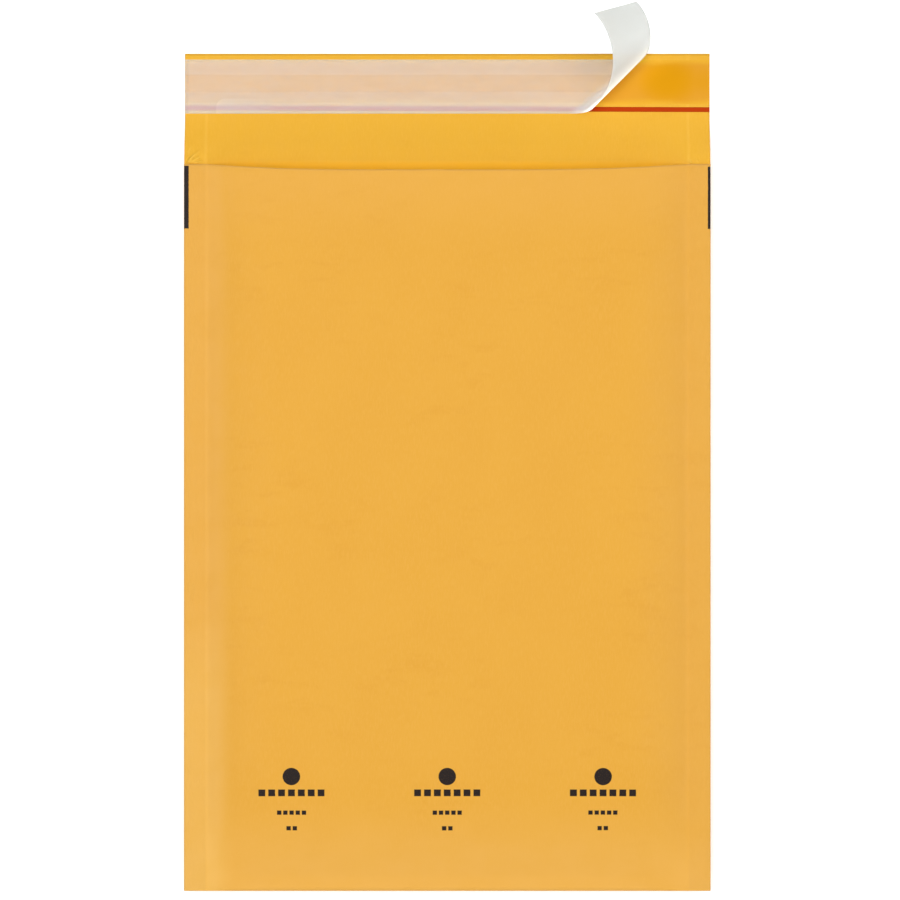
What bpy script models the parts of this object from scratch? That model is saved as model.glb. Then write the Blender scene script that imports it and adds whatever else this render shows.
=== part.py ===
"""A padded envelope of kraft paper with an air-cell lining, open and empty.

It lies on its back: +Y points to the flap, +Z out of the front panel, and +X is the right side as it
is read from the front. The origin is on the floor, under the middle of the envelope with its flap.
"""

import math

import bmesh
import bpy
from mathutils import Matrix, Vector

# The flat envelope, in metres
WIDTH = 0.231
POCKET_DEPTH = 0.319
FLAP_DEPTH = 0.049
SEAM_WIDTH = 0.0095

# Its layers, from the outside in
GAP = 0.0003
PAPER = 0.0003
PAD = 0.004
FILM = 0.0005
FUSED_FILM = 0.0004
POCKET_GAP = 0.0075

# How it swells between its edges
SEAM_HEIGHT = 0.004
FOLD_STACK = 0.0044
FOLD_FLAT = 0.0022
SIDE_REACH = 0.032
BOTTOM_REACH = 0.030
SWELL = 2.2
MOUTH_BOW = 0.0022
BOW_REACH = 0.060

# The lining's edges and air cells
LINING_SETBACK = 0.003
LINING_SIDE = 0.001
CELL_RADIUS = 0.005
CELL_PITCH = 0.011
CELL_ROW = 0.0095
CELL_ROWS = 3
CELL_MARGIN = 0.001
CELL_SIDES = 10

# The strips on the flap, each placed by its distance below the flap's edge
STRIP_THICKNESS = 0.00015
ADHESIVE_WIDTH = 0.014
ADHESIVE_DROP = 0.0055
ADHESIVE_END = 0.0005
TEAR_WIDTH = 0.0018
TEAR_DROP = 0.0232
LINER_WIDTH = 0.0238
LINER_DROP = 0.0026
LINER_THICKNESS = 0.0002
FLAP_FLAT = 0.0015

# The lifted end of the liner: a tight bend at the peel, then an even curl
PEEL_FROM_RIGHT = 0.0556
PEEL_ANGLE = math.radians(42)
MIDDLE_ANGLE = math.radians(78)
BEND_RADIUS = 0.0012
BEND_TURN = math.radians(80)
CURL_RADIUS = 0.0184
CURL_STEPS = 44

# What follows from the sizes above
BOTTOM_Y = -(POCKET_DEPTH + FLAP_DEPTH) / 2
MOUTH_Y = BOTTOM_Y + POCKET_DEPTH
FLAP_Y = MOUTH_Y + FLAP_DEPTH
SEAM_X = WIDTH / 2 - SEAM_WIDTH
LINING_DEPTH = PAPER + GAP
SEAM_STACK = 2 * LINING_DEPTH + FUSED_FILM
MIDDLE_Z = SEAM_HEIGHT + SEAM_STACK / 2
THICKNESS = 2 * (LINING_DEPTH + PAD) + POCKET_GAP
CELL_HEIGHT = PAD - FILM
CELL_BAND = 2 * CELL_MARGIN + 2 * CELL_RADIUS + (CELL_ROWS - 1) * CELL_ROW
STRIP_Z = PAPER + GAP
LINER_Z = STRIP_Z + STRIP_THICKNESS + GAP


def spread(start, end, count, lean=1.0):
    """Values from start to end, closer together near the start where lean is over 1."""
    return [start + (end - start) * (step / count) ** lean for step in range(count + 1)]


def rise(distance, reach):
    """How far a panel has swelled at this distance from its edge: 0 there, and 1 on its flat."""
    left = min(max(1 - distance / reach, 0), 1)
    return 1 - left**SWELL


def swell_across(x):
    return rise(SEAM_X - abs(x), SIDE_REACH)


def fold_half(x):
    """Half the thickness of the pressed fold at the bottom, thinner where the side seams cross it."""
    return (SEAM_STACK + (FOLD_STACK - SEAM_STACK) * swell_across(x)) / 2


def panel_height(side, x, y):
    """Height of the kraft's outer face on the front or the back panel."""
    half = fold_half(x)
    swell = swell_across(x) * rise(y - BOTTOM_Y - half - FOLD_FLAT, BOTTOM_REACH)
    if side == "back":
        return (MIDDLE_Z - half) * (1 - swell)
    return MIDDLE_Z + half + (THICKNESS - MIDDLE_Z - half) * swell


def steepness(side, x, y):
    """Vertical depth through a layer of the panel for each unit of its true thickness."""
    step = 1e-5
    along_x = panel_height(side, x + step, y) - panel_height(side, x - step, y)
    along_y = panel_height(side, x, y + step) - panel_height(side, x, y - step)
    return math.sqrt(1 + (along_x / (2 * step)) ** 2 + (along_y / (2 * step)) ** 2)


def mouth_bow(x, y):
    """How far the front panel's open edge is drawn down, most in the middle."""
    near = max(1 - (MOUTH_Y - y) / BOW_REACH, 0)
    return MOUTH_BOW * swell_across(x) * near**2


def row_y(x, distance):
    """Y of a row that lies this far up the pocket, from 0 where the fold ends to POCKET_DEPTH."""
    half = fold_half(x)
    return BOTTOM_Y + half + distance * (POCKET_DEPTH - half) / POCKET_DEPTH


def panel_point(side, x, distance, depth):
    """A point of the front or back panel, depth in from the kraft's outer face."""
    y = row_y(x, distance)
    inward = depth * steepness(side, x, y)
    if side == "back":
        return Vector((x, y, panel_height(side, x, y) + inward))
    return Vector((x, y - mouth_bow(x, y), panel_height(side, x, y) - inward))


def fold_point(x, angle, depth):
    """A point of the rounded bottom fold, with the angle 90 degrees at the front and -90 at the back."""
    half = fold_half(x)
    radius = half - depth
    return Vector((x, BOTTOM_Y + half - radius * math.cos(angle), MIDDLE_Z + radius * math.sin(angle)))


def flap_point(x, y):
    """A point of the flap's outer face, which flattens onto the floor before its strips begin."""
    settle_reach = FLAP_DEPTH - LINER_DROP - LINER_WIDTH - FLAP_FLAT
    left = min(max(1 - (y - MOUTH_Y) / settle_reach, 0), 1)
    settled = left * left * (3 - 2 * left)
    return Vector((x, y, panel_height("back", x, MOUTH_Y) * settled))


def half_columns():
    """X of the kraft's columns, from the middle to the right edge."""
    return [0.0] + [SEAM_X - back for back in reversed(spread(0, SIDE_REACH, 8, 1.2))] + [WIDTH / 2]


def bottom_rows():
    """Distances of the rows over the fold's flat and the swelling above it."""
    return [0.0] + spread(FOLD_FLAT, FOLD_FLAT + BOTTOM_REACH, 6, 1.2)


def make_object(name, bm, collection):
    bmesh.ops.recalc_face_normals(bm, faces=bm.faces)
    mesh = bpy.data.meshes.new(name)
    bm.to_mesh(mesh)
    bm.free()
    made = bpy.data.objects.new(name, mesh)
    collection.objects.link(made)
    return made


def loft(name, rings, collection):
    """A closed solid through rings of points. Each end is capped across, first point to last."""
    bm = bmesh.new()
    loops = [[bm.verts.new(point) for point in ring] for ring in rings]
    count = len(loops[0])
    for near, far in zip(loops, loops[1:]):
        for i in range(count):
            after = (i + 1) % count
            bm.faces.new((near[i], near[after], far[after], far[i]))
    for end in (loops[0], loops[-1]):
        for i in range(count // 2 - 1):
            bm.faces.new((end[i], end[i + 1], end[count - 2 - i], end[count - 1 - i]))
    return make_object(name, bm, collection)


def smooth(part, degrees):
    part.data.shade_smooth()
    part.data.set_sharp_from_angle(angle=math.radians(degrees))


def material(name, colour, roughness, alpha=1.0, transmission=0.0):
    """A plain Principled material, with its colour as linear RGB."""
    made = bpy.data.materials.new(name)
    made.use_nodes = True
    made.diffuse_color = (*colour, 1)
    shader = made.node_tree.nodes["Principled BSDF"]
    shader.inputs["Base Color"].default_value = (*colour, 1)
    shader.inputs["Roughness"].default_value = roughness
    shader.inputs["Metallic"].default_value = 0.0
    shader.inputs["Alpha"].default_value = alpha
    shader.inputs["Transmission Weight"].default_value = transmission
    return made


def kraft_shell(collection):
    """One sheet: the front panel, round the bottom fold, up the back panel and out along the flap."""
    columns = half_columns()
    bow_rows = spread(POCKET_DEPTH, POCKET_DEPTH - BOW_REACH, 4)
    front = [("front", distance) for distance in bow_rows + bottom_rows()[::-1]]
    fold = [("fold", math.radians(angle)) for angle in (67.5, 45, 22.5, 0, -22.5, -45, -67.5)]
    back = [("back", distance) for distance in bottom_rows() + [POCKET_DEPTH]]
    settled = FLAP_DEPTH - LINER_DROP - LINER_WIDTH - FLAP_FLAT
    flap = [("flap", MOUTH_Y + past) for past in spread(0, settled, 6)[1:] + [FLAP_DEPTH]]
    rows = front + fold + back + flap

    bm = bmesh.new()
    bmesh.ops.create_grid(bm, x_segments=len(columns) - 1, y_segments=len(rows) - 1, size=1)
    for index, vertex in enumerate(bm.verts):
        x = columns[index % len(columns)]
        kind, value = rows[index // len(columns)]
        if kind == "fold":
            vertex.co = fold_point(x, value, 0)
        elif kind == "flap":
            vertex.co = flap_point(x, value)
        else:
            vertex.co = panel_point(kind, x, value, 0)
    mesh = bpy.data.meshes.new("kraft_shell")
    bm.to_mesh(mesh)
    bm.free()
    sheet = bpy.data.objects.new("kraft_shell", mesh)
    collection.objects.link(sheet)

    halves = sheet.modifiers.new("other half", "MIRROR")
    halves.use_axis = (True, False, False)
    halves.use_clip = True
    halves.merge_threshold = 0.00001
    paper = sheet.modifiers.new("paper", "SOLIDIFY")
    paper.thickness = PAPER
    paper.offset = 1
    smooth(sheet, 60)
    return sheet


def lining_rings(depth_at, start, end, rim):
    """Rings for a loft across the lining, from the left to the right, with rim its half width.

    The pocket's rows run between the distances start and end, and depth_at gives the depth of the
    face below the kraft at each distance.
    """
    inside = [x for x in half_columns() if 0 < x < rim - GAP]
    columns = [-rim] + [-x for x in reversed(inside)] + [0.0] + inside + [rim]
    steps = [end - CELL_BAND, end - CELL_BAND - FILM]
    low = [row for row in bottom_rows() if row > start]
    rows = [start] + low + steps[::-1] + [end - CELL_BAND / 2, end]
    return columns, [(distance, depth_at(distance)) for distance in rows]


def lining_body(collection):
    """The folded web as one solid, up to the faces that lie against the kraft."""
    end = POCKET_DEPTH - LINING_SETBACK
    columns, rows = lining_rings(lambda distance: LINING_DEPTH, 0.0, end, WIDTH / 2 - LINING_SIDE)
    rings = []
    for x in columns:
        ring = [panel_point("front", x, distance, depth) for distance, depth in rows[::-1]]
        ring += [fold_point(x, math.radians(angle), LINING_DEPTH) for angle in (45, 15, -15, -45)]
        ring += [panel_point("back", x, distance, depth) for distance, depth in rows]
        rings.append(ring)
    return loft("bubble_lining", rings, collection)


def pocket_cutter(collection):
    """The space between the lining's two layers, which meet at a slit near the seams and the fold."""
    end = POCKET_DEPTH - LINING_SETBACK
    film_start = end - CELL_BAND

    def depth_at(distance):
        return LINING_DEPTH + (FILM if distance >= film_start else PAD)

    columns, rows = lining_rings(depth_at, FOLD_FLAT, end, SEAM_X)
    rows.append((POCKET_DEPTH + LINING_SETBACK, depth_at(end)))
    rings = []
    for x in columns:
        front, back = [], []
        for distance, depth in rows:
            upper = panel_point("front", x, distance, depth)
            lower = panel_point("back", x, distance, depth)
            middle = (upper.z + lower.z) / 2
            half = max((upper.z - lower.z) / 2, GAP / 2)
            front.append(Vector((x, upper.y, middle + half)))
            back.append(Vector((x, lower.y, middle - half)))
        rings.append(front[::-1] + back)
    return loft("pocket_cutter", rings, collection)


def cell_places():
    """Side, x, distance and height of each air cell near the mouth, in staggered rows."""
    first = POCKET_DEPTH - LINING_SETBACK - CELL_MARGIN - CELL_RADIUS
    half_count = int((SEAM_X - CELL_RADIUS) / CELL_PITCH)
    for row in range(CELL_ROWS):
        distance = first - row * CELL_ROW
        shift = CELL_PITCH / 2 * (row % 2)
        for column in range(-half_count, half_count + 1):
            x = column * CELL_PITCH + shift
            y = row_y(x, distance)
            room = panel_height("front", x, y) - panel_height("back", x, y) - 2 * (LINING_DEPTH + FILM)
            height = min(CELL_HEIGHT, room / 2 - 3 * GAP)
            if abs(x) + CELL_RADIUS < SEAM_X - CELL_RADIUS / 2 and height > CELL_HEIGHT / 2:
                yield "front", x, distance, height
                yield "back", x, distance, height


def air_cells(collection):
    """The blown cells of the lining's first rows, as one set of separate domes sunk in the film."""
    bm = bmesh.new()
    for side, x, distance, height in cell_places():
        foot = panel_point(side, x, distance, LINING_DEPTH + FILM / 2)
        beside = panel_point(side, x + CELL_RADIUS / 2, distance, LINING_DEPTH + FILM / 2)
        slope = math.atan2(beside.z - foot.z, beside.x - foot.x)
        turn = Matrix.Rotation(-slope, 4, "Y")
        if side == "front":
            turn = turn @ Matrix.Rotation(math.pi, 4, "X")
        shoulder = height * 0.6 + FILM / 2
        lift = Matrix.Translation((0, 0, shoulder / 2))
        made = bmesh.ops.create_cone(
            bm,
            cap_ends=True,
            segments=CELL_SIDES,
            radius1=CELL_RADIUS,
            radius2=CELL_RADIUS * 0.9,
            depth=shoulder,
            matrix=Matrix.Translation(foot) @ turn @ lift,
        )
        inward = (turn @ Vector((0, 0, 1))).normalized()
        faces = {face for vertex in made["verts"] for face in vertex.link_faces}
        top = max(faces, key=lambda face: face.calc_center_median().dot(inward))
        bmesh.ops.inset_region(bm, faces=[top], thickness=CELL_RADIUS * 0.4, depth=height * 0.4)
    return make_object("air_cells", bm, collection)


def bubble_lining(parts, cutters):
    """The air-cell web, folded like the kraft and fused along both seams, open only at the mouth."""
    lining = lining_body(parts)
    pocket = lining.modifiers.new("pocket", "BOOLEAN")
    pocket.operation = "DIFFERENCE"
    pocket.object = pocket_cutter(cutters)
    cells = lining.modifiers.new("air cells", "BOOLEAN")
    cells.operation = "UNION"
    cells.object = air_cells(cutters)
    smooth(lining, 40)
    return lining


def flap_strip(name, width, drop, end, collection):
    """A flat strip across the flap, with its upper edge at drop below the flap's edge."""
    bm = bmesh.new()
    size = Matrix.Diagonal((WIDTH - 2 * end, width, STRIP_THICKNESS, 1))
    bmesh.ops.create_cube(bm, size=1, matrix=size)
    strip = make_object(name, bm, collection)
    strip.location = (0, FLAP_Y - drop - width / 2, STRIP_Z + STRIP_THICKNESS / 2)
    return strip


def curl_frames():
    """Middle point, direction along, direction across and ruling angle at each step of the peeled liner.

    The film only bends about straight rulings, so each step turns the frame about the ruling there.
    """
    half = LINER_WIDTH / 2
    peel_x = WIDTH / 2 - PEEL_FROM_RIGHT
    length = PEEL_FROM_RIGHT - half / math.tan(PEEL_ANGLE)
    point = Vector((peel_x + half / math.tan(PEEL_ANGLE), 0, 0))
    along = Vector((1, 0, 0))
    across = Vector((0, 1, 0))
    travelled = 0.0
    places = spread(0, length, CURL_STEPS, 1.4)
    for place, following in zip(places, places[1:] + [length]):
        share = place / length
        if share < 0.5:
            angle = PEEL_ANGLE + (MIDDLE_ANGLE - PEEL_ANGLE) * share * 2
        else:
            angle = MIDDLE_ANGLE + (math.pi / 2 - MIDDLE_ANGLE) * (share - 0.5) * 2
        yield point.copy(), along.copy(), across.copy(), angle
        step = following - place
        radius = BEND_RADIUS if travelled < BEND_RADIUS * BEND_TURN else CURL_RADIUS
        ruling = along * math.cos(angle) + across * math.sin(angle)
        turn = Matrix.Rotation(-step * math.sin(angle) / radius, 3, ruling)
        point += (along + turn @ along) * step / 2
        along, across = turn @ along, turn @ across
        travelled += step * math.sin(angle)


def release_liner(collection):
    """The film over the adhesive: flat from the left edge to the peel, then lifted and curled back."""
    half = LINER_WIDTH / 2
    base = Vector((0, FLAP_Y - LINER_DROP - half, LINER_Z))
    start = Vector((-WIDTH / 2, 0, 0))
    frames = [(start, Vector((1, 0, 0)), Vector((0, 1, 0)), math.pi / 2)] + list(curl_frames())
    rings = []
    for point, along, across, angle in frames:
        reach = (across + along / math.tan(angle)) * half
        thick = along.cross(across) * LINER_THICKNESS
        middle = base + point
        rings.append([middle - reach, middle + reach, middle + reach + thick, middle - reach + thick])
    liner = loft("release_liner", rings, collection)
    smooth(liner, 40)
    return liner


def main():
    for leftover in list(bpy.data.objects):
        bpy.data.objects.remove(leftover)
    parts = bpy.data.collections.new("padded_envelope")
    cutters = bpy.data.collections.new("cutters")
    bpy.context.scene.collection.children.link(parts)
    bpy.context.scene.collection.children.link(cutters)

    kraft = material("golden kraft", (0.86, 0.44, 0.07), 0.75)
    film = material("air-cell film", (0.80, 0.82, 0.84), 0.25, transmission=0.5)
    glue = material("adhesive", (0.80, 0.34, 0.02), 0.2)
    silicone = material("release film", (0.80, 0.80, 0.77), 0.35, alpha=0.6)
    red = material("red tape", (0.55, 0.05, 0.01), 0.4)

    kraft_shell(parts).data.materials.append(kraft)
    bubble_lining(parts, cutters).data.materials.append(film)
    adhesive = flap_strip("adhesive_strip", ADHESIVE_WIDTH, ADHESIVE_DROP, ADHESIVE_END, parts)
    adhesive.data.materials.append(glue)
    tear = flap_strip("tear_strip", TEAR_WIDTH, TEAR_DROP, 0, parts)
    tear.data.materials.append(red)
    release_liner(parts).data.materials.append(silicone)

    for cutter in cutters.objects:
        cutter.hide_render = True
        cutter.display_type = "WIRE"


main()
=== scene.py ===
"""Looks of a padded kraft envelope that lies open on its back, laid out as a Blender add-on.

Every size is in metres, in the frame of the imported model: +Y points to the flap, +Z out of the front
panel, and +X is the right side as the front is read. A point of the paper is named by its distance
up the pocket, and a point of its pattern by x and how far it lies along the unfolded sheet.
"""

import math

import bpy
import numpy as np
from bpy.props import FloatProperty, FloatVectorProperty, IntProperty, PointerProperty
from mathutils import Matrix, Vector, noise


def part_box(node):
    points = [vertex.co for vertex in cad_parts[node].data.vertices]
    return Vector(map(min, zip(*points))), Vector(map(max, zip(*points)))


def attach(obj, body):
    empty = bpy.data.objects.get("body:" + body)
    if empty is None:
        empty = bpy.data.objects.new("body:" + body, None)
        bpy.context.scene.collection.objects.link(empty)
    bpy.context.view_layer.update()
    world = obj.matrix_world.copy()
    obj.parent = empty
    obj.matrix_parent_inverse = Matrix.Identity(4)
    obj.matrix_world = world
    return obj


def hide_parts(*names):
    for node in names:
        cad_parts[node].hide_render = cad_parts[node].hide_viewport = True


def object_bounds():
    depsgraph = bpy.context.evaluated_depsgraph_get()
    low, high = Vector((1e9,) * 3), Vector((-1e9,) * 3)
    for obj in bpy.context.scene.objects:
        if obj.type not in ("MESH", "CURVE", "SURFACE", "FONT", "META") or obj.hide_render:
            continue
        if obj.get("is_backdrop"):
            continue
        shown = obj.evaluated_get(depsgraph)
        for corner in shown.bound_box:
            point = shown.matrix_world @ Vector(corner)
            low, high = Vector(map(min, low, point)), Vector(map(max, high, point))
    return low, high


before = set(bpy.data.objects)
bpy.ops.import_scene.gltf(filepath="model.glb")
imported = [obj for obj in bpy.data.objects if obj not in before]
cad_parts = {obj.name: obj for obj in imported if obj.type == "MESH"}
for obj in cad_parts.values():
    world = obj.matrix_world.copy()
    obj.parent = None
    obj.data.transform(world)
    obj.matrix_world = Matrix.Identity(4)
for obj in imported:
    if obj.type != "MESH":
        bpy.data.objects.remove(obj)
CAD_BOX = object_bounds()

bl_info = {
    "name": "Padded envelope",
    "version": (1, 0, 0),
    "blender": (4, 5, 0),
    "location": "3D View > Sidebar > Envelope",
    "description": "Builds the kraft sheet, air-cell lining, adhesive, tear tape and liner of an envelope",
    "category": "Object",
}

KRAFT_LOW, KRAFT_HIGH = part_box("kraft_shell")
LINER_LOW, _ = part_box("release_liner")
ADHESIVE_LOW, ADHESIVE_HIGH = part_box("adhesive_strip")
TAPE_LOW, TAPE_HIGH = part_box("tear_strip")

WIDTH = KRAFT_HIGH[0] - KRAFT_LOW[0]
BOTTOM_Y = KRAFT_LOW[1]
FLAP_Y = KRAFT_HIGH[1]
THICKNESS = KRAFT_HIGH[2]
MM = 0.001
LINER_WIDTH = 23.8 * MM
LINER_LIFT = 0.30 * MM  # of the film over the paper
LINER_FLAT_STEPS = 90
LINER_PEEL_STEPS = 110
FAR_SLANT = 0.6  # share of u to v along a ruling in the middle of the curl
GLUE_SPREAD = 3.4 * MM  # past the CAD's strip, on each side
TAPE_DOWN, TAPE_UP = 0.36 * MM, 0.09 * MM  # past the CAD's tape
TAPE_SLANT = -0.0035
STRIP_SINK = 0.04 * MM  # of a strip's edges into the paper

# Colour factors for places that are lighter or darker than the rest
PALE_FIBRES = (1.03, 1.065, 1.42)
DEEP_CLOUDS = (0.97, 0.945, 0.88)
# Paler tone: painted highlight and sheen on the outer face, and the crease lines on the inner face
HIGHLIGHT_AND_CREASE = (1.052, 1.105, 1.78)
# Painted shade on the side seams
SEAM_SHADE = (0.955, 0.958, 1.0)
# Painted highlight on the lower left seam and its slope
CORNER_HIGHLIGHT = (1.03, 1.09, 1.26)
# Painted light under the film, and beside the curl where its shadow falls, for the light that the film's
# alpha holds back
UNDER_FILM = (1.06, 1.25, 1.07)
BESIDE_CURL = (1.07, 1.07, 1.10)
# Painted light on the tape under the film, for the light that the film's alpha holds back
TAPE_LIT_THROUGH_FILM = (1.34, 1.1, 1.0)

# Printed groups: their pitch, their dot's height over the bottom fold, and each row of squares with its
# count, and its pitch, size and height over the fold in millimetres
MARK_GROUP = 67.8 * MM
MARK_DOT = 49.6 * MM
MARK_ROWS = ((7, 4.3, 3.0, 42.4), (5, 2.7, 1.9, 33.6), (2, 2.7, 1.9, 26.6))


def length(description, default, low=0.0, high=1.0):
    return FloatProperty(
        description=description, default=default, min=low, max=high, unit="LENGTH", precision=5
    )


def colour(description, default):
    return FloatVectorProperty(
        description=description, default=default, min=0.0, max=1.0, size=3, subtype="COLOR"
    )


def share(description, default):
    return FloatProperty(description=description, default=default, min=0.0, max=1.0, subtype="FACTOR")


def degrees(description, default):
    return FloatProperty(description=description, default=math.radians(default), unit="ROTATION")


def watts(description, default):
    return FloatProperty(description=description, default=default, min=0.0, unit="POWER")


class EnvelopeForm(bpy.types.PropertyGroup):
    """The folded and swollen shape that the kraft and the lining share."""

    pocket_depth: length("From the bottom fold to the mouth", 0.319)
    seam_width: length("Pressed band along each side", 0.0095)
    seam_height: length("Height of the side seams over the floor", 0.0042)
    seam_stack: length("Thickness of both sheets at the seam", 0.0012)
    fold_stack: length("Thickness of the pressed bottom fold", 0.0044)
    fold_flat: length("Flat band above the bottom fold", 0.0022)
    side_reach: length("Width over which a panel swells in from its seam", 0.032)
    bottom_reach: length("Length over which a panel swells up from the fold", 0.058)
    swell: FloatProperty(description="Power of the swelling curve", default=2.2, min=1.0)
    seam_soft: length("Distance over which a panel turns up at its edge", 0.0022, low=1e-6)
    mouth_bow: length("How far the middle of the open edge is drawn down", 0.0031)
    bow_spread: length("Distance from a seam at which the bow is full", 0.100, low=0.001)
    bow_reach: length("Length of panel that the bow draws on", 0.060)
    mouth_reach: length("Length over which both panels close in on the mouth", 0.080)
    mouth_droop: length("How far the front panel sinks towards its open edge", 0.0038)
    mouth_lift: length("How far the back panel rises off the floor at the mouth", 0.0015)


class EnvelopeKraft(bpy.types.PropertyGroup):
    """Relief and colours of the kraft paper."""

    paper: length("Thickness of the sheet", 0.0003)
    pitch: length("Distance between the sheet's mesh lines", 0.002)
    wave: length("Height of the slow waves of the loose panels", 0.0007)
    cell_print: length("How far the air cells show through the paper", 0.00013)
    pucker: length("Height of the short folds that run in from the seams", 0.00028)
    crimp: length("Height of the wrinkles in the side seams", 0.00016)
    outer: colour("Colour of the outer face", (0.771, 0.384, 0.0425))
    inner: colour("Colour of the inner face, which the flap shows", (0.815, 0.425, 0.024))
    # Painted light: brighter and deeper orange than the inner face, lifting the shade that the raised front
    # edge casts beside the mouth and painting the warm light bounced there
    lit_lip: colour("Colour of the inner face beside the mouth", (0.97, 0.474, 0.011))
    # Painted highlight along the crease ridges at the mouth's corners
    crease: colour("Colour of the inner face's creases at the mouth's corners", (0.95, 0.56, 0.07))
    ink: colour("Colour of the printed marks", (0.014, 0.008, 0.007))


class EnvelopeLining(bpy.types.PropertyGroup):
    """Sizes and colour of the air-cell web."""

    setback: length("From the mouth to the lining's edge", 0.003)
    depth: length("From the kraft's outer face to the web", 0.00056)
    cell_radius: length("Radius of one air cell", 0.005)
    cell_height: length("Height of one full air cell", 0.0037)
    cell_pitch: length("Distance between cells in a row", 0.011)
    cell_row: length("Distance between staggered rows", 0.0095)
    cell_sides: IntProperty(description="Mesh sides of one cell", default=12, min=6)
    film: colour("Colour of the film", (0.86, 0.90, 0.93))
    haze: share("How much the film hides what is behind it", 0.34)


class EnvelopeStrips(bpy.types.PropertyGroup):
    """Colours of what is stuck on the flap."""

    adhesive: colour("Colour of the thick middle of the adhesive", (0.725, 0.315, 0.002))
    adhesive_thin: colour("Colour of the adhesive's thin parts", (0.752, 0.338, 0.026))
    tape: colour("Colour of the tear tape", (0.482, 0.042, 0.0))


class EnvelopeLiner(bpy.types.PropertyGroup):
    """The release liner and how its loose end is peeled and curled."""

    peel_from_right: length("From the right edge to the peel, along the liner's lower edge", 0.0614)
    peel_angle: degrees("Angle of the bend to the strip", 38.1)
    middle_angle: degrees("Angle of the curl halfway", 75.5)
    bend_radius: length("Radius of the tight bend at the peel", 0.0030)
    bend_turn: degrees("How far the tight bend turns", 86.2)
    curl_radius: length("Radius of the loose end's even curl", 0.01824)
    thickness: length("Thickness of the film", 0.00008)
    film: colour("Colour of the film where it is stuck down", (0.99, 1.0, 0.975))
    loose_film: colour("Colour of the lifted end", (0.705, 0.730, 0.703))
    # Painted light: the film beside the bend is drawn near white for the light that falls on it and through
    # it
    lit_bent_film: colour("Colour of the lifted end beside the bend", (0.97, 0.985, 0.99))
    haze: share("How milky one face of the film is over bare paper", 0.335)
    stuck_haze: share("How milky it is where the adhesive wets it", 0.27)
    loose_haze: share("How milky it is where it is lifted", 0.80)
    bent_haze: share("How milky it is beside the bend", 0.86)
    glow: share("Light that comes through the film beside the bend", 0.50)
    through: colour("Colour of the light that comes through the film", (0.81, 0.99, 0.97))


class EnvelopeStage(bpy.types.PropertyGroup):
    """Floor, lights and camera."""

    floor: colour("Colour of the floor", (0.93, 0.93, 0.93))
    glow: FloatProperty(description="Light that the floor itself gives off", default=0.30, min=0.0)
    sky: FloatProperty(description="Strength of the even light", default=0.06, min=0.0)
    left_low: watts("Soft light 30 degrees over the left", 7.4)
    left_high: watts("Soft light 66 degrees over the left", 11.0)
    right_low: watts("Soft light 30 degrees over the right", 5.6)
    right_high: watts("Soft light 48 degrees over the right", 9.2)
    head: watts("Soft light 48 degrees over the flap's end", 8.2)
    foot: watts("Soft light 30 degrees over the bottom end", 7.0)
    camera_height: length("Height of the camera over the floor", 1.32, high=10.0)
    view_x: length("Point of the envelope in the middle of the picture", 0.0012, low=-1.0)
    view_y: length("Point of the envelope in the middle of the picture", 0.0095, low=-1.0)
    view_width: length("Width of the floor in the picture", 0.3964, high=10.0)


def form():
    return bpy.context.scene.envelope_form


def mouth_y():
    return BOTTOM_Y + form().pocket_depth


def seam_x():
    return WIDTH / 2 - form().seam_width


def rise(distance, reach):
    """How far a panel has swelled at this distance from its edge, from 0 to 1."""
    distance = np.maximum(distance, 0)
    distance = distance**2 / (distance + form().seam_soft)
    return 1 - np.clip(1 - distance / reach, 0, 1) ** form().swell


def smooth_step(value, low, high):
    part = np.clip((value - low) / (high - low), 0, 1)
    return part * part * (3 - 2 * part)


def swell_across(x):
    return rise(seam_x() - np.abs(x), form().side_reach)


def fold_half(x):
    """Half the thickness of the pressed bottom fold, thinner where the seams cross it."""
    return (form().seam_stack + (form().fold_stack - form().seam_stack) * swell_across(x)) / 2


def middle_z():
    return form().seam_height + form().seam_stack / 2


def panel_height(side, x, y):
    """Height of the kraft's outer face on the front or the back panel."""
    half = fold_half(x)
    across = swell_across(x)
    swell = across * rise(y - BOTTOM_Y - half - form().fold_flat, form().bottom_reach)
    near = np.clip(1 - (mouth_y() - y) / form().mouth_reach, 0, 1) ** 2
    if side == "back":
        return (middle_z() - half) * (1 - swell) + form().mouth_lift * across * near
    return middle_z() + half + (THICKNESS - middle_z() - half) * swell - form().mouth_droop * across * near


def row_y(x, distance):
    """Y of a row this far up the pocket, from 0 where the fold ends to the mouth."""
    half = fold_half(x)
    return BOTTOM_Y + half + distance * (form().pocket_depth - half) / form().pocket_depth


def panel_point(side, x, distance, depth=0.0):
    """Points of the front or back panel, depth in from the kraft's outer face."""
    y = row_y(x, distance)
    step = 1e-5
    along_x = (panel_height(side, x + step, y) - panel_height(side, x - step, y)) / (2 * step)
    along_y = (panel_height(side, x, y + step) - panel_height(side, x, y - step)) / (2 * step)
    inward = depth * np.sqrt(1 + along_x**2 + along_y**2)
    if side == "back":
        return np.stack([x + 0 * y, y, panel_height(side, x, y) + inward], -1)
    near = np.clip(1 - (mouth_y() - y) / form().bow_reach, 0, 1)
    inside = np.maximum(seam_x() - np.abs(x), 0)
    bow = form().mouth_bow * (1 - np.clip(1 - inside / form().bow_spread, 0, 1) ** 4) * near**2
    return np.stack([x + 0 * y, y - bow, panel_height(side, x, y) - inward], -1)


def fold_point(x, angle):
    """Points of the rounded bottom fold, with the angle from 90 degrees at the front to -90."""
    half = fold_half(x)
    y = BOTTOM_Y + half * (1 - np.cos(angle))
    return np.stack([x, y, middle_z() + half * np.sin(angle)], -1)


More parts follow.
